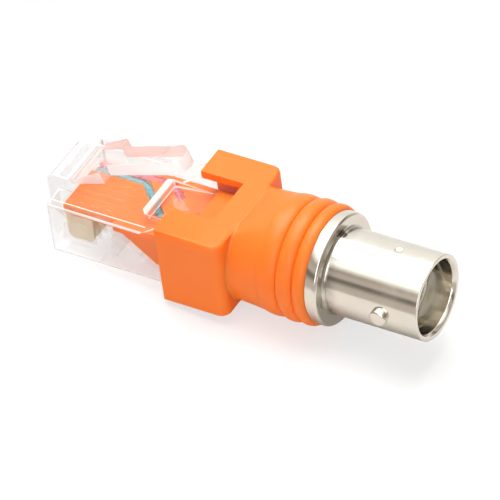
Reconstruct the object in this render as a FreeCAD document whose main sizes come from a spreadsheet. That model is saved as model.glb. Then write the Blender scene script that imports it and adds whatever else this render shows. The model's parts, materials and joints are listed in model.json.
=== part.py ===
import FreeCAD, Part
import math
import os
import Sketcher

# Bayonet coax jack to eight-way network plug, moulded as one inline adapter.
# The origin is the centre of the jack's mouth. +X points out of the jack, so every
# piece lies at or behind x = 0. +Z is the side that carries the plug's latch.

Vector = FreeCAD.Vector
doc = FreeCAD.newDocument("coax_to_network_adapter")
sheet = doc.addObject("Spreadsheet::Sheet", "Sizes")

# Driving sizes, in millimetres and degrees
driving_sizes = {
    # turned jack shell
    "barrel_radius": 4.8,
    "barrel_reach": 11.2,
    "root_depth": 0.18,
    "root_length": 0.9,
    "flange_radius": 6.29,
    "flange_thickness": 1.4,
    "flange_chamfer": 0.22,
    "mouth_wall": 0.46,
    "mouth_chamfer_length": 0.4,
    "barrel_wall": 0.74,
    "bore_length": 3.4,
    "inner_bore_step": 0.16,
    "socket_depth": 8.4,
    "seat_radius": 3.1,
    "tail_radius": 4.9,
    "tail_length": 4.6,
    "tail_groove_depth": 0.5,
    "tail_groove_width": 0.9,
    "spigot_radius": 3.9,
    "punch_radius": 0.42,
    "punch_depth": 0.16,
    "punch_back": 4.4,
    "punch_across": 0.6,
    "root_punch_back": 10.9,
    # pressed bayonet pins
    "pin_radius": 1.0,
    "pin_back": 4.3,
    "pin_proud": 0.7,
    "pin_bevel": 0.25,
    "pin_inset": 0.06,
    # insulator and centre contact
    "insulator_radius": 2.35,
    "insulator_setback": 3.5,
    "contact_radius": 1.08,
    "contact_setback": 0.2,
    "contact_bore_radius": 0.68,
    "contact_bore_depth": 4.6,
    "contact_slot_width": 0.24,
    "contact_slot_depth": 3.6,
    "cup_radius": 0.95,
    "cup_length": 2.4,
    "cup_bore_radius": 0.55,
    "cup_bore_depth": 1.8,
    # ground tag
    "tag_thickness": 0.5,
    "tag_radius": 4.7,
    "tag_tab_width": 1.6,
    "tag_tab_length": 2.6,
    "tag_tab_thickness": 0.4,
    "tag_turn": 13.0,
    # moulded grip: three raised bands, neck and collar
    "band_near": 1.5,
    "band_middle": 2.0,
    "band_rear": 2.25,
    "band_front_radius": 6.38,
    "band_groove_radius": 6.5,
    "band_crest_radius": 6.8,
    "band_rear_crest_radius": 6.7,
    "band_bevel": 0.42,
    "neck_length": 3.75,
    "neck_front_radius": 6.5,
    "neck_back_radius": 6.2,
    "neck_flat_height": 4.85,
    "neck_flat_blend": 6.45,
    "neck_sink": 0.4,
    "collar_length": 8.0,
    "collar_half_width": 7.26,
    "collar_top": 4.97,
    "collar_bottom": 5.04,
    "collar_edge_rounding": 0.45,
    "collar_corner_rounding": 1.2,
    "slot_half_width": 3.19,
    "slot_length": 5.32,
    "slot_floor": 3.0,
    "slot_floor_length": 3.15,
    # clear plug housing
    "plug_length": 21.46,
    "plug_half_width": 5.84,
    "plug_set_in": 1.02,
    "plug_bottom": 4.0,
    "plug_top": 2.6,
    "rail_top": 4.0,
    "rail_start": 11.95,
    "rail_ramp": 2.0,
    "rail_inner": 3.0,
    "roof_thickness": 1.15,
    "cavity_half_width": 4.57,
    "cavity_start": 7.45,
    "cavity_step": 1.1,
    "cavity_slope_length": 5.0,
    "cavity_bottom": 2.75,
    "comb_start": 0.95,
    "comb_height": 1.1,
    "recess_start": 10.95,
    "recess_length": 5.7,
    "recess_depth": 0.8,
    "recess_half_width": 2.9,
    "pocket_start": 6.6,
    "pocket_length": 3.6,
    "pocket_lean": 0.5,
    "pocket_depth": 2.6,
    "pocket_half_width": 4.2,
    "plug_edge_rounding": 0.25,
    # latch root and latch
    "root_block_front": 1.35,
    "root_block_back": 1.65,
    "root_block_half_width": 3.05,
    "root_block_top": 4.4,
    "root_block_bottom": 0.6,
    "root_block_bevel": 0.75,
    "hinge_back": 1.9,
    "hinge_height": 4.1,
    "web_thickness": 0.44,
    "web_length": 0.6,
    "web_end_ratio": 0.8,
    "latch_slope": 19.4,
    "latch_shoulder": 4.4,
    "latch_plate_thickness": 0.85,
    "latch_thickness": 1.45,
    "latch_half_width": 3.05,
    "lever_half_width": 1.6,
    "lever_length": 12.85,
    "thumb_pad_radius": 1.62,
    "thumb_pad_proud": 0.12,
    # contact blades
    "contact_count": 8,
    "contact_pitch": 1.02,
    "blade_thickness": 0.34,
    "blade_clearance": 0.04,
    "blade_start": 0.85,
    "blade_length": 3.3,
    "blade_bottom": 3.35,
    "blade_top": 0.1,
    "blade_rounding": 0.7,
    "prong_width": 0.55,
    "prong_top": 1.15,
    "slot_notch_height": 2.1,
    # insulated wires and their solder joints
    "wire_radius": 0.49,
    "conductor_radius": 0.26,
    "wire_height": 0.9,
    "wire_start": 1.2,
    "wire_end_gap": 0.2,
    "bare_length": 2.4,
    "finger_groove": 0.12,
    "solder_film": 0.06,
    "solder_proud": 0.25,
    "solder_mound_length": 1.7,
    "solder_mound_width": 1.3,
    "solder_mound_height": 0.75,
}


def fill_sheet():
    """writes each driving size in its own row, with its name as the alias"""
    for row, (name, number) in enumerate(driving_sizes.items(), start=1):
        sheet.set("A%d" % row, name)
        sheet.set("B%d" % row, str(number))
        sheet.setAlias("B%d" % row, name)
    doc.recompute()


class Size:
    """a length or angle that carries its number and the sheet formula behind it"""

    def __init__(self, number, formula):
        self.number = float(number)
        self.formula = formula

    def joined(self, other, sign, number):
        return Size(number, "(%s %s %s)" % (self.formula, sign, as_size(other).formula))

    def __add__(self, other):
        return self.joined(other, "+", self.number + as_size(other).number)

    def __sub__(self, other):
        return self.joined(other, "-", self.number - as_size(other).number)

    def __mul__(self, other):
        return self.joined(other, "*", self.number * as_size(other).number)

    def __truediv__(self, other):
        return self.joined(other, "/", self.number / as_size(other).number)

    def __neg__(self):
        return Size(0, "0") - self


def as_size(value):
    return value if isinstance(value, Size) else Size(value, str(value))


class SheetSizes:
    """gives every alias of the sheet as a Size, so that s.barrel_radius reads as written"""

    def __getattr__(self, name):
        return Size(sheet.get(name), "Sizes." + name)


fill_sheet()
s = SheetSizes()


def bind(item, field, value):
    """ties one property of an object to the sheet"""
    item.setExpression(field, as_size(value).formula)


# Stations along the axis, each worked out from the mouth backwards
nothing = Size(0, "0")
flange_front = -s.barrel_reach
flange_back = flange_front - s.flange_thickness
tail_back = flange_back - s.tail_length
spigot_back = tail_back - s.tag_thickness
contact_back = spigot_back - s.cup_length
bands_back = flange_back - s.band_near - s.band_middle - s.band_rear
collar_back = bands_back - s.neck_length
collar_front = collar_back - s.collar_length
plug_back = collar_back - s.plug_set_in
nose = plug_back - s.plug_length
roof_under = s.plug_top - s.roof_thickness
cavity_front = nose + s.cavity_start
comb_front = nose + s.comb_start
comb_floor = roof_under - s.comb_height
hinge_x = nose + s.hinge_back

# Radii and reaches worked out from the barrel's own radius
root_radius = s.barrel_radius - s.root_depth
mouth_radius = s.barrel_radius - s.mouth_wall
bore_radius = s.barrel_radius - s.barrel_wall
inner_bore_radius = bore_radius - s.inner_bore_step
pin_tip = s.barrel_radius + s.pin_proud


def origin_item(body, role):
    for item in body.Origin.OriginFeatures:
        if item.Role == role:
            return item


def new_body(label):
    body = doc.addObject("PartDesign::Body", label)
    body.Label = label
    return body


def fix_point(sketch, geometry, end, across, up):
    """holds one end of a line or arc at a place given by two sizes"""
    for kind, value in (("DistanceX", as_size(across)), ("DistanceY", as_size(up))):
        index = sketch.addConstraint(Sketcher.Constraint(kind, -1, 1, geometry, end, value.number))
        bind(sketch, "Constraints[%d]" % index, value)


def draw_edge(sketch, here, there, rise):
    """adds a line, or an arc that rises by the given size to the left of its travel"""
    start = Vector(as_size(here[0]).number, as_size(here[1]).number, 0)
    finish = Vector(as_size(there[0]).number, as_size(there[1]).number, 0)
    if rise is None:
        return sketch.addGeometry(Part.LineSegment(start, finish), False), 1, 2
    chord = finish - start
    left = Vector(-chord.y, chord.x, 0).normalize()
    middle = (start + finish) * 0.5 + left * rise.number
    curve = sketch.addGeometry(Part.Arc(start, middle, finish), False)
    if rise.number > 0:
        return curve, 2, 1
    return curve, 1, 2


def draw_loop(sketch, corners):
    """draws one closed outline; a corner's third value is the rise of the arc that leaves it"""
    edges = []
    for place, corner in enumerate(corners):
        following = corners[(place + 1) % len(corners)]
        rise = corner[2] if len(corner) > 2 else None
        edges.append(draw_edge(sketch, corner, following, rise))
    for place, corner in enumerate(corners):
        edge, start, finish = edges[place]
        before, _, before_finish = edges[place - 1]
        sketch.addConstraint(Sketcher.Constraint("Coincident", before, before_finish, edge, start))
        fix_point(sketch, edge, start, corner[0], corner[1])
    for place, corner in enumerate(corners):
        if len(corner) > 2:
            fix_arc(sketch, edges[place][0], corner, corners[(place + 1) % len(corners)])


def fix_arc(sketch, edge, corner, following):
    """sets an arc's radius from its chord and its rise"""
    run = as_size(following[0]) - corner[0]
    climb = as_size(following[1]) - corner[1]
    rise = corner[2]
    doubled = rise * 2 if rise.number > 0 else -(rise * 2)
    radius = ((run * run + climb * climb) / 4 + rise * rise) / doubled
    index = sketch.addConstraint(Sketcher.Constraint("Radius", edge, radius.number))
    bind(sketch, "Constraints[%d]" % index, radius)


def draw_circle(sketch, across, up, radius):
    centre = Vector(as_size(across).number, as_size(up).number, 0)
    circle = sketch.addGeometry(Part.Circle(centre, Vector(0, 0, 1), radius.number), False)
    fix_point(sketch, circle, 3, across, up)
    index = sketch.addConstraint(Sketcher.Constraint("Radius", circle, radius.number))
    bind(sketch, "Constraints[%d]" % index, radius)


def new_sketch(body, name, plane, height=None):
    """attaches a sketch to one of its body's planes, or parallel to it at a height"""
    sketch = body.newObject("Sketcher::SketchObject", name)
    sketch.AttachmentSupport = [(origin_item(body, plane), "")]
    sketch.MapMode = "FlatFace"
    if height is not None:
        bind(sketch, "AttachmentOffset.Base.z", height)
    return sketch


def outline(body, name, plane, loops, height=None):
    sketch = new_sketch(body, name, plane, height)
    for corners in loops:
        draw_loop(sketch, corners)
    return sketch


def circles(body, name, plane, rings, height=None):
    sketch = new_sketch(body, name, plane, height)
    for across, up, radius in rings:
        draw_circle(sketch, across, up, radius)
    return sketch


def extrude(body, kind, name, sketch, length, both_sides=True, flipped=False):
    """pads or pockets a sketch by a length that is bound to the sheet"""
    feature = body.newObject("PartDesign::" + kind, name)
    feature.Profile = (sketch, [""])
    feature.SideType = "Symmetric" if both_sides else "One side"
    feature.Reversed = flipped
    bind(feature, "Length", length)
    sketch.Visibility = False
    return feature


def revolve(body, name, sketch, axis="X_Axis"):
    feature = body.newObject("PartDesign::Revolution", name)
    feature.Profile = (sketch, [""])
    feature.ReferenceAxis = (origin_item(body, axis), [""])
    feature.Angle = 360
    return feature


def edges_at(feature, wanted):
    """names the edges of a feature whose two ends and middle pass a test"""
    doc.recompute()
    names = []
    for number, edge in enumerate(feature.Shape.Edges, start=1):
        middle = edge.valueAt((edge.FirstParameter + edge.LastParameter) / 2)
        points = [vertex.Point for vertex in edge.Vertexes] + [middle]
        if all(wanted(point) for point in points):
            names.append("Edge%d" % number)
    return names


def near(one, other, reach=0.01):
    return abs(one - as_size(other).number) < reach


def dress(body, kind, name, base, edges, field, size):
    """rounds or bevels the named edges of a feature"""
    feature = body.newObject("PartDesign::" + kind, name)
    feature.Base = (base, edges)
    bind(feature, field, size)
    body.Tip = feature
    return feature


def rectangle(left, right, low, high):
    return [(left, low), (right, low), (right, high), (left, high)]


# Jack shell: turned brass, nickel plated, with the mouth, flange and gripping tail
def make_jack_shell():
    body = new_body("jack_shell")
    bore_end = -s.bore_length
    socket_end = -s.socket_depth
    groove_low = s.tail_radius - s.tail_groove_depth
    groove_front = flange_back - s.tail_groove_width * 2
    groove_back = groove_front - s.tail_groove_width
    root_front = flange_front + s.root_length
    profile = [
        (nothing, mouth_radius),
        (nothing, s.barrel_radius),
        (root_front, s.barrel_radius),
        (root_front - s.root_depth, root_radius),
        (flange_front, root_radius),
        (flange_front, s.flange_radius - s.flange_chamfer),
        (flange_front - s.flange_chamfer, s.flange_radius),
        (flange_back, s.flange_radius),
        (flange_back, s.tail_radius),
        (groove_front, s.tail_radius),
        (groove_front, groove_low),
        (groove_back, groove_low),
        (groove_back, s.tail_radius),
        (tail_back, s.tail_radius),
        (tail_back, s.spigot_radius),
        (spigot_back, s.spigot_radius),
        (spigot_back, s.seat_radius),
        (socket_end, s.seat_radius),
        (socket_end, inner_bore_radius),
        (bore_end, inner_bore_radius),
        (bore_end, bore_radius),
        (-s.mouth_chamfer_length, bore_radius),
    ]
    revolve(body, "ShellTurning", outline(body, "ShellProfile", "XZ_Plane", [profile]))
    pin_holes = circles(body, "PinHoles", "XZ_Plane", [(-s.pin_back, nothing, s.pin_radius)])
    extrude(body, "Pocket", "PinHolePocket", pin_holes, s.barrel_radius * 2 + 1)
    aside = s.punch_across
    marks = [(-s.punch_back, aside, s.punch_radius), (-s.root_punch_back, nothing, s.punch_radius)]
    start = s.barrel_radius + 1
    punches = circles(body, "PunchMarks", "XY_Plane", marks, start)
    extrude(body, "Pocket", "PunchPocket", punches, s.punch_depth + 1, both_sides=False)
    return body


# Bayonet pins: short nickel-plated pins pressed through the barrel wall
def make_bayonet_pin(label, side):
    body = new_body(label)
    inner = bore_radius + s.pin_inset if side > 0 else -(bore_radius + s.pin_inset)
    sketch = circles(body, label + "_circle", "XZ_Plane", [(-s.pin_back, nothing, s.pin_radius)], -inner)
    length = pin_tip - bore_radius - s.pin_inset
    pin = extrude(body, "Pad", label + "_pad", sketch, length, both_sides=False, flipped=side > 0)
    tip = edges_at(pin, lambda point: near(point.y * side, pin_tip))
    dress(body, "Chamfer", label + "_tip", pin, tip, "Size", s.pin_bevel)
    return body


# Insulator: turned fluoropolymer that stands in the socket and holds the contact
def make_insulator():
    body = new_body("jack_insulator")
    front = -s.insulator_setback
    socket_end = -s.socket_depth
    profile = [
        (front, s.contact_radius),
        (front, s.insulator_radius),
        (socket_end, s.insulator_radius),
        (socket_end, s.seat_radius),
        (spigot_back, s.seat_radius),
        (spigot_back, s.contact_radius),
    ]
    revolve(body, "InsulatorTurning", outline(body, "InsulatorProfile", "XZ_Plane", [profile]))
    return body


# Centre contact: gold-plated socket with four springy fingers and a solder cup
def make_centre_contact():
    body = new_body("centre_contact")
    front = -(s.insulator_setback + s.contact_setback)
    profile = [
        (front, s.contact_bore_radius),
        (front, s.contact_radius),
        (spigot_back, s.contact_radius),
        (spigot_back, s.cup_radius),
        (contact_back, s.cup_radius),
        (contact_back, s.cup_bore_radius),
        (contact_back + s.cup_bore_depth, s.cup_bore_radius),
        (contact_back + s.cup_bore_depth, nothing),
        (front - s.contact_bore_depth, nothing),
        (front - s.contact_bore_depth, s.contact_bore_radius),
    ]
    revolve(body, "ContactTurning", outline(body, "ContactProfile", "XZ_Plane", [profile]))
    half = s.contact_slot_width / 2
    slot = rectangle(front - s.contact_slot_depth, front, -half, half)
    for name, plane in (("FingerSlotLevel", "XZ_Plane"), ("FingerSlotUpright", "XY_Plane")):
        sketch = outline(body, name, plane, [slot])
        body.Tip = extrude(body, "Pocket", name + "Pocket", sketch, s.contact_radius * 2 + 1)
    return body


# Ground tag: tinned brass ring on the shell's spigot, with a bent solder tab
def make_ground_tag():
    body = new_body("ground_tag")
    rings = [(nothing, nothing, s.tag_radius), (nothing, nothing, s.spigot_radius)]
    ring = circles(body, "TagRing", "YZ_Plane", rings, spigot_back)
    extrude(body, "Pad", "TagRingPad", ring, s.tag_thickness, both_sides=False)
    half = s.tag_tab_width / 2
    outer = -s.tag_radius + s.tag_tab_thickness / 2
    tab = rectangle(outer - s.tag_tab_thickness / 2, outer + s.tag_tab_thickness / 2, -half, half)
    sketch = outline(body, "TagTab", "YZ_Plane", [tab], tail_back - s.tag_thickness)
    extrude(body, "Pad", "TagTabPad", sketch, s.tag_tab_length, both_sides=False, flipped=True)
    body.Placement = FreeCAD.Placement(Vector(0, 0, 0), FreeCAD.Rotation(Vector(-1, 0, 0), 10))
    bind(body, "Placement.Rotation.Angle", s.tag_turn)
    return body


def plug_side():
    """the plug's outline from the side, with the ramps up to its two rails"""
    ramp = nose + s.rail_start
    return [
        (nose, -s.plug_bottom),
        (plug_back, -s.plug_bottom),
        (plug_back, s.rail_top),
        (ramp + s.rail_ramp, s.rail_top),
        (ramp, s.plug_top),
        (nose, s.plug_top),
    ]


def cavity_side():
    """the cable cavity from the side: low at the rear, sloping up to the wire comb"""
    slope_end = cavity_front + s.cavity_slope_length
    return [
        (cavity_front, comb_floor),
        (cavity_front + s.cavity_step, comb_floor),
        (slope_end, -s.cavity_bottom),
        (plug_back, -s.cavity_bottom),
        (plug_back, roof_under),
        (cavity_front, roof_under),
    ]


# Plug housing: one clear polycarbonate moulding
def make_plug_housing():
    body = new_body("plug_housing")
    side = outline(body, "HousingSide", "XZ_Plane", [plug_side()])
    block = extrude(body, "Pad", "HousingBlock", side, s.plug_half_width * 2)
    corner = edges_at(
        block,
        lambda point: near(abs(point.y), s.plug_half_width)
        and (near(point.z, -s.plug_bottom) or near(point.z, s.plug_top) or near(point.x, nose)),
    )
    dress(body, "Fillet", "HousingEdges", block, corner, "Radius", s.plug_edge_rounding)
    over = s.rail_top + 1
    between = rectangle(nose + s.rail_start - 1, plug_back, s.plug_top, over)
    extrude(body, "Pocket", "RailGapPocket", outline(body, "RailGap", "XZ_Plane", [between]), s.rail_inner * 2)
    add_latch_root(body)
    cavity = outline(body, "CableCavity", "XZ_Plane", [cavity_side()])
    extrude(body, "Pocket", "CableCavityPocket", cavity, s.cavity_half_width * 2)
    comb = rectangle(comb_front, cavity_front, comb_floor, roof_under)
    comb_width = s.contact_pitch * s.contact_count
    extrude(body, "Pocket", "WireCombPocket", outline(body, "WireComb", "XZ_Plane", [comb]), comb_width)
    cut_housing_openings(body)
    return body


def add_latch_root(body):
    """the raised block at the nose that the latch springs from"""
    front = nose - s.root_block_front
    back = nose + s.root_block_back
    bevel = s.root_block_bevel
    profile = [
        (front, -s.root_block_bottom),
        (nose, -s.root_block_bottom - bevel),
        (back, -s.root_block_bottom - bevel),
        (back, s.root_block_top),
        (front + bevel, s.root_block_top),
        (front, s.root_block_top - bevel),
    ]
    sketch = outline(body, "LatchRoot", "XZ_Plane", [profile])
    extrude(body, "Pad", "LatchRootPad", sketch, s.root_block_half_width * 2)


def cut_housing_openings(body):
    """the strain-relief recess, the pocket below, and one slot for each contact blade"""
    recess_front = nose + s.recess_start
    recess_floor = s.plug_top - s.recess_depth
    recess_back = recess_front + s.recess_length
    recess = [(recess_front, recess_floor), (recess_back, s.plug_top), (recess_front, s.plug_top)]
    sketch = outline(body, "StrainRecess", "XZ_Plane", [recess])
    extrude(body, "Pocket", "StrainRecessPocket", sketch, s.recess_half_width * 2)
    pocket_front = nose + s.pocket_start
    pocket_back = pocket_front + s.pocket_length
    under = -s.plug_bottom
    pocket_roof = under + s.pocket_depth
    pocket = [
        (pocket_front + s.pocket_lean, under),
        (pocket_back, under),
        (pocket_back, pocket_roof - s.pocket_lean * 2),
        (pocket_front, pocket_roof),
    ]
    sketch = outline(body, "LowerPocket", "XZ_Plane", [pocket])
    extrude(body, "Pocket", "LowerPocketPocket", sketch, s.pocket_half_width * 2)
    blade_front = nose + s.blade_start
    notch_top = under + s.slot_notch_height
    slot = [
        (nose, under),
        (blade_front + s.blade_length, under),
        (blade_front + s.blade_length, comb_floor),
        (blade_front, comb_floor),
        (blade_front, notch_top),
        (nose, notch_top),
    ]
    width = s.blade_thickness + s.blade_clearance * 2
    last = None
    for number in range(int(s.contact_count.number)):
        name = "ContactSlot%d" % (number + 1)
        sketch = outline(body, name, "XZ_Plane", [slot], -blade_side(number))
        last = extrude(body, "Pocket", name + "Pocket", sketch, width)
    body.Tip = last


def blade_side(number):
    """the sideways place of one contact, counted from the near side"""
    return s.contact_pitch * number - s.contact_pitch * (s.contact_count - 1) / 2


# Contact blades: gold-plated bronze stampings with two prongs that pierce the wire
def make_contact_blade(number):
    body = new_body("contact_blade_%d" % (number + 1))
    front = nose + s.blade_start
    back = front + s.blade_length
    low = -s.blade_bottom
    high = -s.blade_top
    step = s.prong_width
    half = step / 2
    middle = s.prong_top - step
    round_rise = -(s.blade_rounding * (1 - math.sqrt(0.5)))
    profile = [
        (front, low + s.blade_rounding, round_rise),
        (front + s.blade_rounding, low),
        (back - s.blade_rounding, low, round_rise),
        (back, low + s.blade_rounding),
        (back, high),
        (back - step, high),
        (back - step, middle),
        (back - step - half, s.prong_top),
        (back - step * 2, middle),
        (back - step * 2, high),
        (front + step * 2, high),
        (front + step * 2, middle),
        (front + step + half, s.prong_top),
        (front + step, middle),
        (front + step, high),
        (front, high),
    ]
    sketch = outline(body, body.Label + "_profile", "XZ_Plane", [profile])
    extrude(body, "Pad", body.Label + "_pad", sketch, s.blade_thickness)
    bind(body, "Placement.Base.y", blade_side(number))
    return body


# Latch: clear sprung lever, moulded with the plug and flexing at its thin root
def make_latch():
    body = new_body("latch_lever")
    half_web = s.web_thickness / 2
    under = -half_web
    plate_start = s.web_length
    profile = [
        (nothing, -half_web),
        (plate_start, under),
        (s.lever_length, under),
        (s.lever_length, under + s.latch_thickness),
        (s.latch_shoulder, under + s.latch_thickness),
        (plate_start + s.web_thickness, under + s.latch_plate_thickness),
        (plate_start, half_web),
        (nothing, half_web, -(half_web * s.web_end_ratio)),
    ]
    side = outline(body, "LatchSide", "XZ_Plane", [profile])
    extrude(body, "Pad", "LatchPlate", side, s.latch_half_width * 2)
    wide = s.latch_half_width + 1
    far = s.lever_length + 1
    strips = [
        rectangle(s.latch_shoulder, far, s.lever_half_width, wide),
        rectangle(s.latch_shoulder, far, -wide, -s.lever_half_width),
    ]
    sides = outline(body, "LeverSides", "XY_Plane", strips)
    extrude(body, "Pocket", "LeverSidesPocket", sides, s.latch_thickness * 4)
    pad_low = under - s.thumb_pad_proud
    pad = circles(body, "ThumbPad", "XY_Plane", [(s.lever_length, nothing, s.thumb_pad_radius)], pad_low)
    pad_height = s.latch_thickness + s.thumb_pad_proud * 2
    body.Tip = extrude(body, "Pad", "ThumbPadDisc", pad, pad_height, both_sides=False)
    body.Placement = FreeCAD.Placement(Vector(0, 0, 0), FreeCAD.Rotation(Vector(0, -1, 0), 10))
    bind(body, "Placement.Base.x", hinge_x)
    bind(body, "Placement.Base.z", s.hinge_height)
    bind(body, "Placement.Rotation.Angle", s.latch_slope)
    return body


# Moulded grip: raised bands, neck and collar in soft orange plastic, with the tongue
# that the moulding leaves inside the plug
def band(front, width, crest, foot):
    """one raised band: a bevel up, a level crest, and a bevel down to the next groove"""
    back = front - width
    return [(front - s.band_bevel, crest), (back + s.band_bevel, crest), (back, foot)]


def make_neck_form():
    """three raised bands behind the flange and the neck with its two sloping flats"""
    body = new_body("neck_form")
    one = flange_back - s.band_near
    two = one - s.band_middle
    neck_end = collar_back - s.neck_sink
    profile = [(flange_back, nothing), (flange_back, s.band_front_radius)]
    profile += band(flange_back, s.band_near, s.band_crest_radius, s.band_groove_radius)
    profile += band(one, s.band_middle, s.band_crest_radius, s.band_groove_radius)
    profile += band(two, s.band_rear, s.band_rear_crest_radius, s.neck_front_radius)
    profile += [(neck_end, s.neck_back_radius), (neck_end, nothing)]
    revolve(body, "NeckTurning", outline(body, "NeckProfile", "XZ_Plane", [profile]))
    over = s.band_crest_radius + 1
    flats = []
    for sign in (1, -1):
        flats.append([
            (bands_back, s.neck_flat_blend * sign),
            (collar_back, s.neck_flat_height * sign),
            (neck_end - 1, s.neck_flat_height * sign),
            (neck_end - 1, over * sign),
            (bands_back, over * sign),
        ])
    sketch = outline(body, "NeckFlats", "XZ_Plane", flats)
    body.Tip = extrude(body, "Pocket", "NeckFlatsPocket", sketch, over * 2)
    return body


def make_collar_form():
    """the square collar, open at the front for the plug and at the top for the latch"""
    body = new_body("collar_form")
    collar = rectangle(collar_front, collar_back, -s.collar_bottom, s.collar_top)
    sketch = outline(body, "Collar", "XZ_Plane", [collar])
    block = extrude(body, "Pad", "CollarBlock", sketch, s.collar_half_width * 2)
    upright = edges_at(
        block,
        lambda point: near(abs(point.y), s.collar_half_width) and near(point.x, collar_back),
    )
    rounded = dress(body, "Fillet", "CollarCorners", block, upright, "Radius", s.collar_corner_rounding)
    long_edges = edges_at(
        rounded,
        lambda point: near(abs(point.y), s.collar_half_width)
        and (near(point.z, s.collar_top) or near(point.z, -s.collar_bottom) or near(point.x, collar_front)),
    )
    dress(body, "Fillet", "CollarEdges", rounded, long_edges, "Radius", s.collar_edge_rounding)
    shape_tongue(body)
    return body


def shape_tongue(body):
    """opens the collar for the plug and its latch, then fills the plug's cavity"""
    envelope = outline(body, "PlugEnvelope", "XZ_Plane", [plug_side()])
    extrude(body, "Pocket", "PlugEnvelopePocket", envelope, s.plug_half_width * 2)
    slot_end = collar_front + s.slot_length
    over = s.collar_top + 1
    slot = rectangle(collar_front - 1, slot_end, s.rail_top - s.collar_edge_rounding, over)
    sketch = outline(body, "LatchSlot", "XZ_Plane", [slot])
    extrude(body, "Pocket", "LatchSlotPocket", sketch, s.slot_half_width * 2)
    floor_start = slot_end - s.slot_floor_length
    floor = [
        (floor_start, s.plug_top),
        (plug_back, s.plug_top),
        (plug_back, s.rail_top),
        (slot_end, s.rail_top),
        (slot_end, s.slot_floor),
        (floor_start, s.slot_floor),
    ]
    sketch = outline(body, "SlotFloor", "XZ_Plane", [floor])
    extrude(body, "Pad", "SlotFloorPad", sketch, s.rail_inner * 2)
    tongue = outline(body, "Tongue", "XZ_Plane", [cavity_side()])
    extrude(body, "Pad", "TonguePad", tongue, s.cavity_half_width * 2)
    sketch = outline(body, "Fingers", "YZ_Plane", [finger_section()], comb_front)
    body.Tip = extrude(body, "Pad", "FingersPad", sketch, cavity_front - comb_front, both_sides=False)


def finger_section():
    """the moulding in the six empty wire channels, grooved between the channels"""
    first = -s.contact_pitch * s.contact_count / 2
    low = comb_floor
    high = roof_under
    groove = s.finger_groove
    empty = int(s.contact_count.number) - 2
    under = [(first, low)]
    above = [(first, high)]
    for number in range(1, empty):
        ridge = first + s.contact_pitch * number
        under += [(ridge - groove, low), (ridge, low + groove), (ridge + groove, low)]
        above += [(ridge - groove, high), (ridge, high - groove), (ridge + groove, high)]
    last = first + s.contact_pitch * empty
    under.append((last, low))
    above.append((last, high))
    return under + above[::-1]


# Wires: two insulated conductors from the plug's last two contacts to the jack.
# Each turn is a place along the wire: how far behind the nose it is, and what share
# of the way across from its contact to its solder point the wire has come by then.
wire_turns = {
    "red": [(10.4, 0), (13.6, 0.8), (22.0, 1)],
    "teal": [(7.6, 0), (11.9, 0.67), (22.0, 1)],
}


def make_route(colour, number, finish):
    """the corners of one wire, which all lie in one plane along the adapter"""
    start = Vector((nose + s.wire_start).number, blade_side(number).number, s.wire_height.number)
    across = Vector(0, finish.y - start.y, finish.z - start.z)
    corners = [start]
    for distance, share in wire_turns[colour]:
        place = start + across * share
        place.x = nose.number + distance
        corners.append(place)
    return corners + [finish]


def swept(corners, section):
    """sweeps a closed section that faces along X down a route, with mitred corners"""
    section.translate(corners[0])
    upright = Vector(1, 0, 0).cross(corners[0] - corners[-1]).normalize()
    path = Part.BRepOffsetAPI.MakePipeShell(Part.makePolygon(corners))
    path.setBiNormalMode(upright)
    path.setTransitionMode(1)
    path.add(section)
    path.build()
    path.makeSolid()
    return path.shape()


def round_section(radius):
    return Part.Wire(Part.Circle(Vector(0, 0, 0), Vector(1, 0, 0), radius).toShape())


def channel_section(radius):
    """a channel that is round below and open to the cavity's roof above"""
    top = (roof_under - s.wire_height).number + radius
    low = Part.Arc(Vector(0, -radius, 0), Vector(0, 0, -radius), Vector(0, radius, 0)).toShape()
    right = Part.LineSegment(Vector(0, radius, 0), Vector(0, radius, top)).toShape()
    lid = Part.LineSegment(Vector(0, radius, top), Vector(0, -radius, top)).toShape()
    left = Part.LineSegment(Vector(0, -radius, top), Vector(0, -radius, 0)).toShape()
    return Part.Wire([low, right, lid, left])


def new_shape(label, shape):
    item = doc.addObject("Part::Feature", label)
    item.Label = label
    item.Shape = shape
    return item


def make_wire(colour, corners, prongs):
    """a round conductor, the insulation stripped from its end, and the moulded channel"""
    bare = (corners[-2] - corners[-1]).normalize() * s.bare_length.number
    covered = corners[:-1] + [corners[-1] + bare]
    copper = swept(corners, round_section(s.conductor_radius.number))
    sleeve = swept(covered, round_section(s.wire_radius.number))
    channel = swept(covered[:-2], channel_section(s.wire_radius.number))
    conductor = new_shape(colour + "_wire_conductor", copper.cut(prongs))
    insulation = new_shape(colour + "_wire_insulation", sleeve.cut(copper).cut(prongs))
    return conductor, insulation, channel.fuse(sleeve)


# Solder joints: tin that holds each conductor to its contact
def make_cup_solder(conductor):
    """fills the contact's cup round the conductor and stands a little proud of it"""
    proud = s.solder_proud.number
    start = Vector(contact_back.number, 0, 0)
    fill = Part.makeCylinder(s.cup_bore_radius.number, s.cup_bore_depth.number, start, Vector(1, 0, 0))
    cap = Part.makeCone(
        s.cup_bore_radius.number, s.cup_radius.number, proud,
        start - Vector(proud, 0, 0), Vector(1, 0, 0),
    )
    return new_shape("cup_solder", fill.fuse(cap).cut(conductor.Shape))


def make_tab_solder(conductor, face, middle):
    """a low mound of solder over the conductor on the ground tag's turned tab"""
    length = s.solder_mound_length.number
    width = s.solder_mound_width.number
    height = s.solder_mound_height.number
    foot = Vector(middle - length / 2, face, -width / 2)
    mound = Part.makeBox(length, height, width, foot)
    top_edges = [edge for edge in mound.Edges if near(edge.CenterOfMass.y, face + height)]
    mound = mound.makeChamfer(height * 0.45, top_edges)
    mound.rotate(Vector(0, 0, 0), Vector(-1, 0, 0), s.tag_turn.number)
    return new_shape("tab_solder", mound.cut(conductor.Shape))


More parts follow.
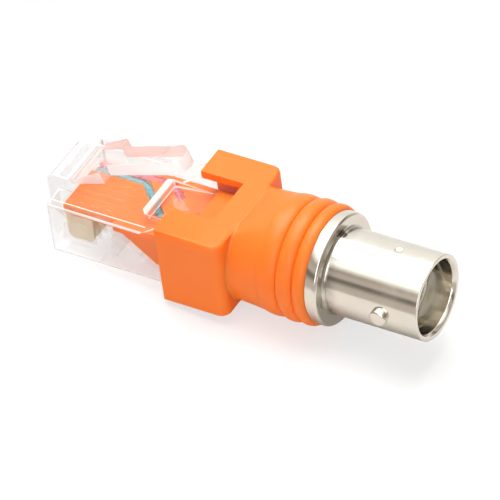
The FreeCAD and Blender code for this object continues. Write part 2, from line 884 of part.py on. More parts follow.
def check_document():
    """stops the build if any object failed to recompute"""
    for item in doc.Objects:
        if "Invalid" in item.State or "Error" in item.State:
            raise RuntimeError("%s failed to recompute" % item.Name)


def check_pieces(pieces):
    for piece in pieces:
        if piece.Shape.isNull() or not piece.Shape.isValid() or not piece.Shape.Solids:
            raise RuntimeError("%s has no valid solid" % piece.Label)


def export_pieces(pieces):
    os.makedirs("parts", exist_ok=True)
    for piece in pieces:
        piece.Shape.exportStep(os.path.join("parts", piece.Label + ".step"))


blade_count = int(s.contact_count.number)
jack_shell = make_jack_shell()
near_pin = make_bayonet_pin("bayonet_pin_near", -1)
far_pin = make_bayonet_pin("bayonet_pin_far", 1)
insulator = make_insulator()
centre_contact = make_centre_contact()
ground_tag = make_ground_tag()
housing = make_plug_housing()
blades = [make_contact_blade(number) for number in range(blade_count)]
latch = make_latch()
neck_form = make_neck_form()
collar_form = make_collar_form()
doc.recompute()
check_document()

# The red wire ends in the contact's cup, and the teal wire on the tag's tab
cup_bottom = (contact_back + s.cup_bore_depth - s.wire_end_gap).number
red_end = Vector(cup_bottom, 0, 0)
tab_face = (s.tag_tab_thickness - s.tag_radius).number
tab_root = (spigot_back - s.wire_end_gap).number
above_tab = tab_face + s.conductor_radius.number + s.solder_film.number
teal_end = FreeCAD.Rotation(Vector(-1, 0, 0), s.tag_turn.number).multVec(Vector(tab_root, above_tab, 0))
red_route = make_route("red", blade_count - 1, red_end)
teal_route = make_route("teal", blade_count - 2, teal_end)
prongs = Part.makeCompound([blade.Shape for blade in blades])
red_copper, red_sleeve, red_channel = make_wire("red", red_route, prongs)
teal_copper, teal_sleeve, teal_channel = make_wire("teal", teal_route, prongs)
cup_solder = make_cup_solder(red_copper)
mound_middle = tab_root - s.wire_end_gap.number - s.solder_mound_length.number / 2
tab_solder = make_tab_solder(teal_copper, tab_face, mound_middle)

# The moulding takes the shape of everything that it is moulded round
channels = new_shape("wire_channels", Part.makeCompound([red_channel, teal_channel]))
inserts = [jack_shell, insulator, centre_contact, ground_tag, cup_solder, tab_solder]
inserts += [red_copper, teal_copper, channels] + blades
grip_outer = doc.addObject("Part::Fuse", "grip_outer")
grip_outer.Base = collar_form
grip_outer.Tool = neck_form
insert_group = doc.addObject("Part::Compound", "moulded_in_pieces")
insert_group.Links = inserts
grip = doc.addObject("Part::Cut", "moulded_grip")
grip.Label = "moulded_grip"
grip.Base = grip_outer
grip.Tool = insert_group
doc.recompute()
check_document()

pieces = [jack_shell, near_pin, far_pin, insulator, centre_contact, ground_tag, cup_solder, tab_solder]
pieces += [red_copper, red_sleeve, teal_copper, teal_sleeve, housing, latch, grip] + blades
check_pieces(pieces)
export_pieces(pieces)
for piece in pieces:
    print(piece.Label, round(piece.Shape.Volume, 2), "mm3", len(piece.Shape.Solids), "solid")
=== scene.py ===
"""Coax to network adapter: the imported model, finished to look as it does in the photograph."""

import json
import math

import bmesh
import bpy
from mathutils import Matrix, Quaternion, Vector

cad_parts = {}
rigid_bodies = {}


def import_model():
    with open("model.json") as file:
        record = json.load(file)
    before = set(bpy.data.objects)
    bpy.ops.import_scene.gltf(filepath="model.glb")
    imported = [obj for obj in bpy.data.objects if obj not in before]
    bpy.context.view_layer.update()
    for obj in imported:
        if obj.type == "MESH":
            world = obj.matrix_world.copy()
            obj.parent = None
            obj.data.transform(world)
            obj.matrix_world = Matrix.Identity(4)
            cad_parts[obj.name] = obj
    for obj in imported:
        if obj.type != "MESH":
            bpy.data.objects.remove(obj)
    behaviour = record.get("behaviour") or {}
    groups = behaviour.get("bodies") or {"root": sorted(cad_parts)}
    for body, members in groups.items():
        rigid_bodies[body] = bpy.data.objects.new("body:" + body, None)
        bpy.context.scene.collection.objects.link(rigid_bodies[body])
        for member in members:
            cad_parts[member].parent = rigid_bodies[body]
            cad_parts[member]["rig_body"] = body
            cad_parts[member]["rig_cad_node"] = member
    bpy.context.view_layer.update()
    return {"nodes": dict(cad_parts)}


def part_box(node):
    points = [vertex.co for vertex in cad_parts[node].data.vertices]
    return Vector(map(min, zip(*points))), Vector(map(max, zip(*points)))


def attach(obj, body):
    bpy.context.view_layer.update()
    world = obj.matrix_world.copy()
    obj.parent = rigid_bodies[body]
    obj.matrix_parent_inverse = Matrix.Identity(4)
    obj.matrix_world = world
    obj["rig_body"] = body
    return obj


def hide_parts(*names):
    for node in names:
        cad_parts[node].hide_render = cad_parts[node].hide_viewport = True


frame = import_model()

# Jack shell: the bayonet jack's body, turned from brass bar and nickel plated bright.
# The moulding grips its tail behind the flange. Lathe marks run round it, and plating
# over them leaves soft, slightly wavy reflections.
MM = 0.001


def select_only(piece):
    bpy.ops.object.select_all(action="DESELECT")
    piece.select_set(True)
    bpy.context.view_layer.objects.active = piece


def turned(name, rings, steps=160):
    """turns a closed outline round the adapter's axis; each ring is (place, radius) in mm"""
    place, radius = rings[0]
    bpy.ops.mesh.primitive_circle_add(
        vertices=steps,
        radius=radius * MM,
        location=(place * MM, 0, 0),
        rotation=(0, math.pi / 2, 0),
    )
    piece = bpy.context.object
    piece.name = name
    bpy.ops.object.transform_apply(location=True, rotation=True, scale=True)
    bpy.ops.object.mode_set(mode="EDIT")
    bpy.ops.mesh.select_all(action="SELECT")
    for (start, narrow), (end, wide) in zip(rings, rings[1:] + rings[:1]):
        bpy.ops.mesh.extrude_edges_move(
            TRANSFORM_OT_translate={"value": ((end - start) * MM, 0, 0)}
        )
        bpy.ops.transform.resize(
            value=(1, wide / narrow, wide / narrow), center_override=(end * MM, 0, 0)
        )
    bpy.ops.mesh.select_all(action="SELECT")
    bpy.ops.mesh.remove_doubles(threshold=1e-7)
    bpy.ops.mesh.normals_make_consistent(inside=False)
    bpy.ops.object.mode_set(mode="OBJECT")
    return piece


def round_edges(piece, width, segments=3, limit=30):
    """rounds every edge that is sharper than the limit, in degrees; the width is in mm"""
    select_only(piece)
    bpy.ops.object.modifier_add(type="BEVEL")
    bevel = piece.modifiers[-1]
    bevel.width = width * MM
    bevel.segments = segments
    bevel.limit_method = "ANGLE"
    bevel.angle_limit = math.radians(limit)
    bevel.harden_normals = False
    bpy.ops.object.modifier_apply(modifier=bevel.name)
    bpy.ops.object.shade_smooth_by_angle(angle=math.radians(limit))


def colour(code):
    """the linear colour of an sRGB hex code"""
    parts = [int(code[place : place + 2], 16) / 255 for place in (1, 3, 5)]
    parts = [c / 12.92 if c <= 0.04045 else ((c + 0.055) / 1.055) ** 2.4 for c in parts]
    return (*parts, 1)


def new_material(name):
    material = bpy.data.materials.new(name)
    material.use_nodes = True
    return material


def feed(material, node, inputs):
    """gives sockets of a node a plain value, or links them to another node's output"""
    for socket, value in inputs.items():
        if isinstance(value, bpy.types.NodeSocket):
            material.node_tree.links.new(value, node.inputs[socket])
        else:
            node.inputs[socket].default_value = value


def add_node(material, kind, inputs=(), **settings):
    """adds one shader node with its settings and inputs"""
    made = material.node_tree.nodes.new(kind)
    for field, value in settings.items():
        setattr(made, field, value)
    feed(material, made, dict(inputs))
    return made


def surface(material):
    return material.node_tree.nodes["Principled BSDF"]


def own_place(material):
    """the place on the piece, in metres"""
    return add_node(material, "ShaderNodeTexCoord").outputs["Object"]


def drawn_out(material, place, scale):
    """the place scaled by its own amount along each axis, so that a noise forms lines"""
    mapping = add_node(material, "ShaderNodeMapping", {"Vector": place, "Scale": scale})
    return mapping.outputs["Vector"]


def noise(material, place, scale, detail, **more):
    inputs = {"Vector": place, "Scale": scale, "Detail": detail, **more}
    return add_node(material, "ShaderNodeTexNoise", inputs).outputs["Fac"]


def blend(material, share, first, second):
    """a colour on the way from the first to the second"""
    # Mix keeps its colour sockets after its number and vector ones, at places 6 and 7
    inputs = {0: share, 6: first, 7: second}
    return add_node(material, "ShaderNodeMix", inputs, data_type="RGBA").outputs[2]


def slide(material, value, start, end, low=0, high=1, kind="LINEAR"):
    """a number that goes from low to high while the value goes from start to end"""
    inputs = {"Value": value, "From Min": start, "From Max": end, "To Min": low, "To Max": high}
    made = add_node(material, "ShaderNodeMapRange", inputs, interpolation_type=kind)
    return made.outputs["Result"]


def work_out(material, operation, first, second):
    """one step of arithmetic"""
    inputs = {0: first, 1: second}
    return add_node(material, "ShaderNodeMath", inputs, operation=operation).outputs[0]


def away_from(material, place, point):
    """the distance from a point, in metres"""
    inputs = {0: place, 1: point}
    made = add_node(material, "ShaderNodeVectorMath", inputs, operation="DISTANCE")
    return made.outputs["Value"]


def relief(material, height, strength, distance):
    """a fine relief that only the light shows"""
    inputs = {"Strength": strength, "Distance": distance, "Height": height}
    return add_node(material, "ShaderNodeBump", inputs).outputs["Normal"]


# bright nickel plate: a warm, slightly grey metal with a near-mirror polish
nickel = new_material("bright_nickel_plate")
where = own_place(nickel)
turning = noise(nickel, drawn_out(nickel, where, (9000, 120, 120)), 1, 3)
smears = noise(nickel, where, 420, 4, Roughness=0.6)
tone = blend(nickel, smears, colour("#D8D3C8"), colour("#E7E4DC"))

# the barrel's root is painted darker, a painted shade where the barrel curves into the flange,
# uneven round it and darkest at one spot on top
root_shade_front = -0.0092
root_shade_full = -0.0108
flange_face = (-0.01122, -0.01112)
darkest_root_spot = (-0.0111, 0.0003, 0.0048)
along = add_node(nickel, "ShaderNodeSeparateXYZ", {0: where}).outputs["X"]
root = slide(nickel, along, root_shade_front, root_shade_full, kind="SMOOTHSTEP")
flange = slide(nickel, along, *flange_face)
uneven = slide(nickel, smears, 0.35, 0.6, 0.1, 0.55)
painted_root_shade = work_out(nickel, "MULTIPLY", root, flange)
painted_root_shade = work_out(nickel, "MULTIPLY", painted_root_shade, uneven)
spot = slide(nickel, away_from(nickel, where, darkest_root_spot), 0.0007, 0.0004, 0, 0.95)
painted_root_shade = work_out(nickel, "MAXIMUM", painted_root_shade, spot)
feed(
    nickel,
    surface(nickel),
    {
        "Metallic": 1,
        # the painted shade at the root darkens the nickel towards a dark grey-brown
        "Base Color": blend(nickel, painted_root_shade, tone, colour("#5E554C")),
        "Roughness": slide(nickel, smears, 0.3, 0.7, 0.1, 0.17),
        "Normal": relief(nickel, turning, 0.06, 0.00002),
    },
)

barrel_radius = 4.8
flange_radius = 6.29
tail_radius = 4.9
shell = turned(
    "jack_shell_plated",
    [
        (0, 4.34),
        (0, barrel_radius),
        (-10.85, barrel_radius),
        (-10.99, 4.82),
        (-11.11, 4.9),
        (-11.18, 5.01),
        (-11.2, 5.15),
        (-11.2, 6.07),
        (-11.42, flange_radius),
        (-12.6, flange_radius),
        (-12.6, tail_radius),
        (-17.2, tail_radius),
        (-17.2, 3.9),
        (-17.7, 3.9),
        (-17.7, 3.1),
        (-8.4, 3.1),
        (-8.4, 3.9),
        (-3.4, 3.9),
        (-3.4, 4.06),
        (-0.4, 4.06),
    ],
)
round_edges(shell, 0.07)

# one small round mark on the barrel's upper side, left by a punch
punch_across = 0.6
punch_radius = 0.95
punch_depth = 0.15
punch_level = math.sqrt(barrel_radius**2 - punch_across**2) + punch_radius - punch_depth
bpy.ops.mesh.primitive_uv_sphere_add(
    segments=32,
    ring_count=16,
    radius=punch_radius * MM,
    location=(-4.4 * MM, punch_across * MM, punch_level * MM),
)
punch = bpy.context.object
select_only(shell)
bpy.ops.object.modifier_add(type="BOOLEAN")
shell.modifiers[-1].object = punch
bpy.ops.object.modifier_apply(modifier=shell.modifiers[-1].name)
select_only(punch)
bpy.ops.object.delete()
shell.data.materials.append(nickel)
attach(shell, "adapter")
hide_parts("jack_shell")

# Bayonet pins: two short pins pressed through the barrel and plated with it. A coax
# plug's collar turns onto them. Their tips are rounded by tumbling.
for node in ("bayonet_pin_near", "bayonet_pin_far"):
    low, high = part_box(node)
    bpy.ops.mesh.primitive_cylinder_add(
        vertices=64,
        radius=(high.x - low.x) / 2,
        depth=high.y - low.y,
        location=(low + high) / 2,
        rotation=(math.pi / 2, 0, 0),
    )
    pin = bpy.context.object
    pin.name = node + "_plated"
    bpy.ops.object.transform_apply(location=True, rotation=True, scale=True)
    round_edges(pin, 0.26, segments=5)
    pin.data.materials.append(nickel)
    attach(pin, "adapter")
    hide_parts(node)

# Insulator: fluoropolymer turned from rod. It is waxy and white, with fine marks from
# the lathe. The gold contact stands in its middle.
fluoropolymer = new_material("turned_fluoropolymer")
marks = noise(fluoropolymer, own_place(fluoropolymer), 1500, 2)
feed(
    fluoropolymer,
    surface(fluoropolymer),
    {
        "Base Color": colour("#F1EFE8"),
        "Roughness": 0.45,
        "IOR": 1.35,
        "Normal": relief(fluoropolymer, marks, 0.1, 0.00002),
    },
)


def finish_node(name, material):
    """gives a part of the frame its finish and keeps its shape"""
    node = frame["nodes"][name]
    node.data.materials.clear()
    node.data.materials.append(material)


finish_node("jack_insulator", fluoropolymer)

# Centre contact and plug blades: phosphor bronze, stamped or turned, with a thin gold
# plate. The gold is pale and not quite even.
gold = new_material("gold_plated_bronze")
patches = noise(gold, own_place(gold), 900, 3)
feed(
    gold,
    surface(gold),
    {
        "Metallic": 1,
        "Base Color": blend(gold, patches, colour("#F6E9C8"), colour("#FCF5E4")),
        "Roughness": slide(gold, patches, 0, 1, 0.34, 0.46),
    },
)
finish_node("centre_contact", gold)
for number in range(1, 9):
    finish_node("contact_blade_%d" % number, gold)

# Ground tag and solder: a tinned brass ring with a tab, and two solder joints. The
# moulding hides them. Tin is grey and satin.
tin = new_material("tin_plate_and_solder")
grain = noise(tin, own_place(tin), 1200, 4)
feed(
    tin,
    surface(tin),
    {
        "Metallic": 1,
        "Base Color": colour("#C6C7C8"),
        "Roughness": slide(tin, grain, 0, 1, 0.25, 0.5),
    },
)
for name in ("ground_tag", "cup_solder", "tab_solder"):
    finish_node(name, tin)

# Wires: two solid copper conductors in coloured insulation, red and teal. They run
# under the plug's clear roof, where their colours show, and on through the moulding.
copper = new_material("drawn_copper")
streaks = noise(copper, drawn_out(copper, own_place(copper), (300, 6000, 6000)), 1, 2)
feed(
    copper,
    surface(copper),
    {
        "Metallic": 1,
        "Base Color": blend(copper, streaks, colour("#D98B63"), colour("#EBA680")),
        "Roughness": 0.28,
    },
)
finish_node("red_wire_conductor", copper)
finish_node("teal_wire_conductor", copper)


def insulation(name, dark, light):
    """extruded wire insulation: even, glossy and a little lighter where it stretched"""
    made = new_material(name)
    cloud = noise(made, own_place(made), 700, 2)
    tint = blend(made, cloud, colour(dark), colour(light))
    feed(made, surface(made), {"Base Color": tint, "Roughness": 0.3, "IOR": 1.5})
    return made


def bent_wire(name, corners, radius, bend=1.4, steps=8):
    """a round wire along the corners, each rounded over the bend's length; all in mm"""
    corners = [Vector(corner) * MM for corner in corners]
    path = [corners[0]]
    for before, corner, after in zip(corners, corners[1:], corners[2:]):
        first = corner + (before - corner).normalized() * bend * MM
        last = corner + (after - corner).normalized() * bend * MM
        for step in range(steps + 1):
            share = step / steps
            path.append(first.lerp(corner, share).lerp(corner.lerp(last, share), share))
    path.append(corners[-1])
    bpy.ops.curve.primitive_nurbs_path_add(location=(0, 0, 0))
    wire = bpy.context.object
    wire.name = name
    wire.data.splines.clear()
    spline = wire.data.splines.new("POLY")
    spline.points.add(len(path) - 1)
    for point, place in zip(spline.points, path):
        point.co = (*place, 1)
    wire.data.bevel_depth = radius * MM
    wire.data.bevel_resolution = 6
    wire.data.use_fill_caps = True
    bpy.ops.object.convert(target="MESH")
    bpy.ops.object.shade_smooth_by_angle(angle=math.radians(50))
    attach(wire, "adapter")
    return wire


# each route runs from its blade, under the roof, to the contact's cup or the tag's tab
red_route = [
    (-43.36, 3.57, 0.9),
    (-34.18, 3.57, 0.9),
    (-30.98, 0.714, 0.18),
    (-22.58, 0, 0),
    (-20.9, 0, 0),
]
teal_route = [
    (-43.36, 2.55, 0.9),
    (-36.98, 2.55, 0.9),
    (-32.68, -1.756, 0.897),
    (-22.58, -3.878, 0.895),
    (-20.3, -3.878, 0.895),
]
for name, route, dark, light in (
    ("red", red_route, "#C22F4A", "#D6506A"),
    ("teal", teal_route, "#14808A", "#2E9AA2"),
):
    sleeve = bent_wire(name + "_wire_sleeve", route, 0.49)
    sleeve.data.materials.append(insulation(name + "_insulation", dark, light))
    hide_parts(name + "_wire_insulation")

# Moulded grip: soft orange plastic, injected in one shot round the jack's tail, the
# wires and the plug's end. The tool's spark-eroded face leaves it satin.
orange = new_material("satin_orange_moulding")
where = own_place(orange)
cloud = noise(orange, where, 160, 3)
# the eroded texture is about 0.05 mm, drawn at 0.15 mm so that it shows
grain = noise(orange, where, 6500, 2)
feed(
    orange,
    surface(orange),
    {
        "Base Color": blend(orange, cloud, colour("#FF7821"), colour("#FF8128")),
        "Roughness": 0.38,
        "IOR": 1.45,
        "Specular IOR Level": 0.4,
        "Subsurface Weight": 0.5,
        "Subsurface Radius": (1, 0.25, 0.08),
        "Subsurface Scale": 0.002,
        "Normal": relief(orange, grain, 0.12, 0.00003),
    },
)


def even_shading(piece):
    """shades wide faces flat and the narrow rounded ones between them smooth"""
    select_only(piece)
    bpy.ops.object.shade_smooth_by_angle(angle=math.radians(40))
    bpy.ops.object.modifier_add(type="WEIGHTED_NORMAL")
    piece.modifiers[-1].keep_sharp = True
    piece.modifiers[-1].weight = 100
    bpy.ops.object.modifier_apply(modifier=piece.modifiers[-1].name)


def band_rings(start, end, first, last, crest, count=14):
    """the rings of one rounded band, between the two grooves beside it"""
    made = []
    for step in range(count):
        share = (1 - math.cos(math.pi * step / count)) / 2
        foot = first + (last - first) * share
        height = math.sqrt(1 - (2 * share - 1) ** 2)
        made.append((start + (end - start) * share, foot + (crest - foot) * height))
    return made


def soft_lower(value, limit, rounding):
    """the lower of two heights, with a rounded change between them"""
    mix = max(0, rounding - abs(value - limit)) / rounding
    return min(value, limit) - mix * mix * rounding / 4


neck_front = -18.35
rings = [(-12.6, 5)]
rings += band_rings(-12.6, -14.1, 6.25, 6.2, 6.72)
rings += band_rings(-14.1, -16.1, 6.2, 6.2, 6.79)
rings += band_rings(-16.1, neck_front, 6.2, 6.48, 6.7)
rings += [(neck_front - 0.25 * step, 6.5 - 0.018 * step) for step in range(14)]
rings += [(-21.75, 6.26), (-21.85, 6.27), (-21.95, 6.3), (-22.02, 6.34), (-22.07, 6.39)]
rings += [(-22.11, 6.44), (-22.35, 6.44), (-22.35, 4.4), (-17.3, 4.4), (-17.3, 5)]
neck = turned("grip_neck", rings, steps=192)

# the neck's flats above and below slope in towards the collar
flat_start = 6.45 * MM
flat_slope = 1.6 / 3.75
flat_low = 4.8 * MM
for vertex in neck.data.vertices:
    back = neck_front * MM - vertex.co.x
    if back > 0:
        # a soft root where the neck runs into the collar
        rise = max(0, back - 3.4 * MM) / (0.36 * MM)
        height = max(flat_start - back * flat_slope, flat_low) + 0.16 * MM * min(rise, 1) ** 2
        sign = 1 if vertex.co.z > 0 else -1
        vertex.co.z = sign * soft_lower(abs(vertex.co.z), height, 0.5 * MM)
select_only(neck)
bpy.ops.object.shade_smooth_by_angle(angle=math.radians(35))
neck.data.materials.append(orange)
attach(neck, "adapter")


def free_copy(node_name, new_name):
    """copies a part of the frame, joins its split vertices and leaves it open for edits"""
    made = frame["nodes"][node_name].copy()
    made.data = made.data.copy()
    made.name = new_name
    bpy.context.scene.collection.objects.link(made)
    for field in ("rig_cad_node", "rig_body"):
        del made[field]
    made.parent = None
    made.data.materials.clear()
    select_only(made)
    bpy.ops.object.mode_set(mode="EDIT")
    bpy.ops.mesh.select_all(action="SELECT")
    bpy.ops.mesh.remove_doubles(threshold=1e-7)
    return made


# the neck's fine rings take the place of all that lies in front of the collar
collar = free_copy("moulded_grip", "grip_collar_and_tongue")
bpy.ops.mesh.select_all(action="DESELECT")
body = bmesh.from_edit_mesh(collar.data)
for face in body.faces:
    face.select = face.calc_center_median().x > -22.08 * MM
bmesh.update_edit_mesh(collar.data)
bpy.ops.mesh.delete(type="FACE")
bpy.ops.mesh.select_all(action="DESELECT")
body = bmesh.from_edit_mesh(collar.data)
for edge in body.edges:
    on_front = all(abs(vertex.co.x + 22.1 * MM) < 0.05 * MM for vertex in edge.verts)
    edge.select = edge.is_boundary and on_front
bmesh.update_edit_mesh(collar.data)
bpy.ops.mesh.fill()
bpy.ops.mesh.select_all(action="SELECT")
bpy.ops.mesh.normals_make_consistent(inside=False)
bpy.ops.mesh.dissolve_limited(angle_limit=math.radians(0.5))
bpy.ops.mesh.select_all(action="DESELECT")
body = bmesh.from_edit_mesh(collar.data)
for vertex in body.verts:
    inner = abs(vertex.co.y) < 7 * MM and -4.5 * MM < vertex.co.z < 2.6 * MM
    vertex.select = inner and vertex.co.x < -22.3 * MM
    # the seams between the moulding's fingers are only faint lines
    if vertex.co.x < -37 * MM and 1.3 * MM < vertex.co.z < 1.36 * MM:
        vertex.co.z = 1.42 * MM
body.select_flush_mode()
bmesh.update_edit_mesh(collar.data)
# the moulding bonds to the clear plug, so it reaches 0.02 mm into it and hides its wall
bpy.ops.transform.shrink_fatten(value=0.02 * MM)
bpy.ops.object.mode_set(mode="OBJECT")
even_shading(collar)
collar.data.materials.append(orange)
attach(collar, "adapter")
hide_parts("moulded_grip")

# Plug housing: clear polycarbonate, injected in a polished tool. Its walls are thick,
# so its edges and hollows bend the light, and the orange behind them tints it.
polycarbonate = new_material("clear_polycarbonate")
flow = noise(polycarbonate, own_place(polycarbonate), 260, 2)
feed(
    polycarbonate,
    surface(polycarbonate),
    {
        "Base Color": colour("#FFF3EF"),
        "Transmission Weight": 0.75,
        "IOR": 1.45,
        "Roughness": 0.08,
        "Alpha": 0.17,
        "Normal": relief(polycarbonate, flow, 0.12, 0.0001),
    },
)

# a whiter, cloudier copy of the same plastic: painted highlights on edges and strips
painted_highlight_plastic = new_material("polycarbonate_painted_highlight")
feed(
    painted_highlight_plastic,
    surface(painted_highlight_plastic),
    {
        "Base Color": colour("#FFF9F7"),
        "Transmission Weight": 0.35,
        "IOR": 1.45,
        "Roughness": 0.4,
        "Alpha": 0.95,
    },
)

# and a whiter copy that scatters light on its way through: painted light on walls that are to
# look bright white
painted_light_plastic = new_material("polycarbonate_painted_light")
feed(
    painted_light_plastic,
    surface(painted_light_plastic),
    {
        "Base Color": colour("#FFF9F7"),
        "Transmission Weight": 0.9,
        "IOR": 1.3,
        "Roughness": 0.5,
        "Alpha": 0.85,
    },
)
PAINTED_HIGHLIGHT = 1
PAINTED_LIGHT = 2


def clear_copy(node_name, new_name):
    """copies a part of the frame, clears its flat facets and gives it the clear plastic and its
    two whiter copies, for painted highlights and painted light
    """
    made = free_copy(node_name, new_name)
    bpy.ops.mesh.dissolve_limited(angle_limit=math.radians(0.5))
    bpy.ops.object.mode_set(mode="OBJECT")
    for plastic in (polycarbonate, painted_highlight_plastic, painted_light_plastic):
        made.data.materials.append(plastic)
    return made


root_top = 4.4
roof_top = 2.6
recess_front = -34.4
rail_edges = (4.8, 4.95)
housing = clear_copy("plug_housing", "plug_housing_clear")
bpy.ops.object.mode_set(mode="EDIT")
bpy.ops.mesh.select_mode(type="FACE")
# cuts in two flat tops, (level, place along, place across), that bound the painted highlight
# strips
for level, along, across in (
    (root_top, -44.5, None),
    (root_top, -43.5, None),
    (roof_top, recess_front, None),
    (roof_top, None, -2.9),
    (roof_top, None, 2.9),
    (roof_top, None, -rail_edges[1]),
    (roof_top, None, -rail_edges[0]),
    (roof_top, None, rail_edges[0]),
    (roof_top, None, rail_edges[1]),
):
    bpy.ops.mesh.select_all(action="DESELECT")
    body = bmesh.from_edit_mesh(housing.data)
    for face in body.faces:
        centre = face.calc_center_median() / MM
        top = face.normal.z > 0.99 and abs(centre.z - level) < 0.01
        face.select = top and centre.x < -31
    bmesh.update_edit_mesh(housing.data)
    bpy.ops.mesh.quads_convert_to_tris()
    if across is None:
        bpy.ops.mesh.bisect(plane_co=(along * MM, 0, 0), plane_no=(1, 0, 0))
    else:
        bpy.ops.mesh.bisect(plane_co=(0, across * MM, 0), plane_no=(0, 1, 0))
bpy.ops.object.mode_set(mode="OBJECT")
# rounded faces and strips on the flat tops take the whiter copy, a painted highlight
for face in housing.data.polygons:
    centre = face.center / MM
    square = max(abs(face.normal.x), abs(face.normal.y), abs(face.normal.z)) > 0.999
    across_plug = abs(face.normal.x) > 0.9
    on_roof = abs(centre.z - roof_top) < 0.01
    rounded = not square and not on_roof and face.area < 3 * MM * MM
    recess_wall = abs(centre.x + 33.63) < 0.05 and centre.z > 1.7 and across_plug
    pocket_wall = abs(centre.x + 37.73) < 0.2 and across_plug
    recess_strip = on_roof and recess_front < centre.x < -33.8 and abs(centre.y) < 2.5
    rail_strip = on_roof and rail_edges[0] < abs(centre.y) < rail_edges[1]
    root_strips = abs(centre.z - root_top) < 0.01 and abs(centre.x + 44) > 0.5
    # the recess and pocket walls take the scattering copy, painted light
    if recess_wall or pocket_wall:
        face.material_index = PAINTED_LIGHT
    elif rounded or recess_strip or rail_strip or root_strips:
        face.material_index = PAINTED_HIGHLIGHT
bpy.ops.object.mode_set(mode="EDIT")
bpy.ops.mesh.select_mode(type="EDGE")
bpy.ops.mesh.select_all(action="SELECT")
bpy.ops.mesh.dissolve_limited(angle_limit=math.radians(0.5), delimit={"MATERIAL"})
bpy.ops.mesh.select_all(action="DESELECT")
body = bmesh.from_edit_mesh(housing.data)
for edge in body.edges:
    ends = [vertex.co / MM for vertex in edge.verts]
    upright = abs(ends[0].z - ends[1].z) > 0.5
    outer = all(abs(point.y) > 4.7 or point.z > 1.75 for point in ends)
    outer = outer and min(point.x for point in ends) < -30.3
    wide = all(face.calc_area() > 0.9 * MM * MM for face in edge.link_faces)
    # the root's corners, hidden by the latch, stay sharp
    hidden = all(abs(point.x + 42.93) < 0.01 for point in ends) and upright
    # so do the shoulders' inner edges, which run into the moulding's slot
    slot_side = all(abs(abs(point.y) - 3) < 0.05 for point in ends)
    slot_side = slot_side and edge.calc_length() > 5 * MM
    sharp = edge.is_manifold and edge.calc_face_angle() > 0.65
    edge.select = outer and wide and sharp and not hidden and not slot_side
bmesh.update_edit_mesh(housing.data)
# the bevelled outer edges take the whiter copy, a painted highlight along each
bpy.ops.mesh.bevel(offset=0.17 * MM, segments=3, material=PAINTED_HIGHLIGHT)
bpy.ops.object.mode_set(mode="OBJECT")
even_shading(housing)
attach(housing, "adapter")
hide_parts("plug_housing")

# Latch: the plug's sprung lever, moulded with it and thin at its root. It ends in a
# round pad for the thumb.
latch = clear_copy("latch_lever", "latch_clear")
# the latch's side facing the front is painted light; its far side and small faces carry painted
# highlights
for face in latch.data.polygons:
    if face.normal.y < -0.6:
        face.material_index = PAINTED_LIGHT
    elif face.normal.y > 0.6 or face.area < 1.2 * MM * MM:
        face.material_index = PAINTED_HIGHLIGHT
# the latch's bevelled edges carry painted highlights too
bpy.ops.object.modifier_add(type="BEVEL")
bevel = latch.modifiers[-1]
bevel.width = 0.14 * MM
bevel.segments = 2
bevel.material = PAINTED_HIGHLIGHT
bpy.ops.object.modifier_apply(modifier=bevel.name)
even_shading(latch)
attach(latch, "latch")
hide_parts("latch_lever")

# Floor: a white sheet that the adapter lies on, nose and rear band touching it. It is
# white to the camera wherever no shadow falls, and fades out into the white behind.
paper = new_material("white_paper")
nose_touch = Vector((-44.58, 0, -4.0)) * MM
band_touch = Vector((-17.2, 0, -6.73)) * MM
lean = math.atan2(nose_touch.z - band_touch.z, band_touch.x - nose_touch.x)
bpy.ops.mesh.primitive_plane_add(
    size=0.3, location=(nose_touch + band_touch) / 2, rotation=(0, lean, 0)
)
floor = bpy.context.object
floor.name = "floor"
bpy.ops.object.transform_apply(location=True, rotation=True, scale=True)
floor.data.materials.append(paper)


def seen_directly(material):
    """1 where the camera sees a thing bare or through the clear plastic, otherwise 0"""
    path = add_node(material, "ShaderNodeLightPath").outputs
    return work_out(material, "MAXIMUM", path["Is Camera Ray"], path["Is Transmission Ray"])


seen = seen_directly(paper)
feed(
    paper,
    surface(paper),
    {
        "Base Color": blend(paper, seen, colour("#D9D5D0"), colour("#FCFBFA")),
        "Roughness": 0.9,
        "Specular IOR Level": 0.1,
    },
)
where = add_node(paper, "ShaderNodeNewGeometry").outputs["Position"]
apart = away_from(paper, where, (-0.02, -0.004, -0.006))
along = add_node(paper, "ShaderNodeSeparateXYZ", {0: where}).outputs["X"]
fade = work_out(
    paper,
    "MAXIMUM",
    slide(paper, apart, 0.035, 0.06, kind="SMOOTHSTEP"),
    slide(paper, along, -0.026, -0.046, kind="SMOOTHSTEP"),
)
# a bright studio leaves only a pale shadow
fade = work_out(paper, "MAXIMUM", fade, work_out(paper, "MULTIPLY", seen, 0.6))
clear = add_node(paper, "ShaderNodeBsdfTransparent")
sheet = add_node(
    paper,
    "ShaderNodeMixShader",
    {0: fade, 1: surface(paper).outputs[0], 2: clear.outputs[0]},
)
feed(paper, paper.node_tree.nodes["Material Output"], {"Surface": sheet.outputs[0]})

# Lights: one wide softbox overhead and a little behind, and a fill beside the camera.
# Both are aimed at the adapter's middle.
middle = Vector((-0.022, 0, 0))
for name, place, power in (
    ("overhead_softbox", (-0.1, 0.12, 0.55), 4.0),
    ("front_fill", (0.2, -0.55, 0.3), 1.7),
):
    lamp = bpy.data.objects.new(name, bpy.data.lights.new(name, "AREA"))
    bpy.context.scene.collection.objects.link(lamp)
    lamp.data.shape = "SQUARE"
    lamp.data.size = 0.5
    lamp.data.energy = power
    lamp.location = place
    aim = Vector(place) - middle
    lamp.rotation_mode = "QUATERNION"
    lamp.rotation_quaternion = aim.to_track_quat("Z", "Y")

# Room: white to the camera. What shiny things mirror is dim in front and to the right,
# above the table's edge, and a white wall behind.
world = bpy.data.worlds.new("white_room")
bpy.context.scene.world = world
world.use_nodes = True
world.node_tree.nodes.clear()
direction = add_node(world, "ShaderNodeTexCoord").outputs["Generated"]
split = add_node(world, "ShaderNodeSeparateXYZ", {0: direction}).outputs


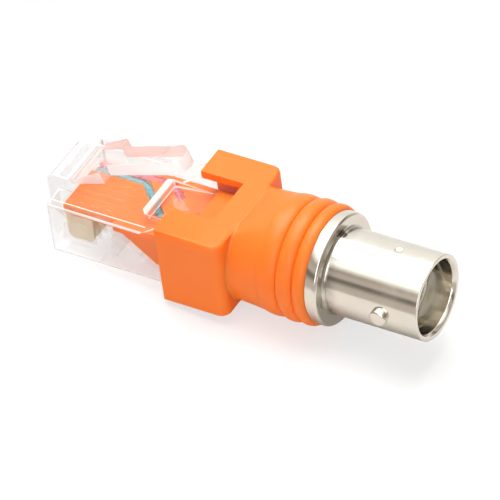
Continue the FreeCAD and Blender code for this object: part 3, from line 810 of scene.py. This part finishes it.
def climb(stops):
    """colours from the horizon up to overhead, as (height, colour) pairs"""
    made = add_node(world, "ShaderNodeValToRGB", {"Fac": split["Z"]})
    marks = made.color_ramp.elements
    marks[0].position, marks[1].position = stops[0][0], stops[-1][0]
    marks[0].color, marks[1].color = colour(stops[0][1]), colour(stops[-1][1])
    for height, code in stops[1:-1]:
        marks.new(height).color = colour(code)
    return made.outputs["Color"]


front = climb(
    [
        (0, "#A89F97"),
        (0.1, "#A59C94"),
        (0.2, "#80786F"),
        (0.27, "#5F5954"),
        (0.34, "#6B645E"),
        (0.42, "#A89F97"),
        (0.52, "#A59A92"),
        (0.62, "#8C847C"),
        (0.7, "#C9C3B9"),
        (0.78, "#FFFFFC"),
        (1, "#FFFFFF"),
    ]
)
rear = climb(
    [(0, "#CFCFCC"), (0.3, "#D9D8D4"), (0.5, "#E0DFDB"), (0.75, "#EBEAE6"), (1, "#FFFFFF")]
)
behind = slide(world, split["Y"], -0.25, 0.2)
left = slide(world, split["X"], 0.3, 0)
room = blend(world, work_out(world, "MULTIPLY", behind, left), front, rear)


def glow(tint, strength):
    inputs = {"Color": tint, "Strength": strength}
    return add_node(world, "ShaderNodeBackground", inputs).outputs[0]


glossy = add_node(world, "ShaderNodeLightPath").outputs["Is Glossy Ray"]
shiny = add_node(
    world,
    "ShaderNodeMixShader",
    {0: glossy, 1: glow(colour("#FFFFFF"), 0.45), 2: glow(room, 1.6)},
)
choice = add_node(
    world,
    "ShaderNodeMixShader",
    {0: seen_directly(world), 1: shiny.outputs[0], 2: glow(colour("#FFFFFF"), 1)},
)
add_node(world, "ShaderNodeOutputWorld", {"Surface": choice.outputs[0]})

# Camera: where the photograph was taken from, above and in front of the jack's end,
# with a long lens and the camera tilted a little.
camera_place = Vector((223.647, -350.639, 379.936)) * MM
camera_target = Vector((-20.682, -3.222, 2.201)) * MM
camera_tilt = Quaternion((0, 0, 1), math.radians(-8.195))
camera = bpy.data.objects.new("camera", bpy.data.cameras.new("camera"))
bpy.context.scene.collection.objects.link(camera)
camera.data.lens = 385.8
camera.data.sensor_width = 36
camera.location = camera_place
camera.rotation_mode = "QUATERNION"
aim = camera_target - camera_place
camera.rotation_quaternion = aim.to_track_quat("-Z", "Y") @ camera_tilt
bpy.context.scene.camera = camera
bpy.context.scene.view_settings.view_transform = "Standard"
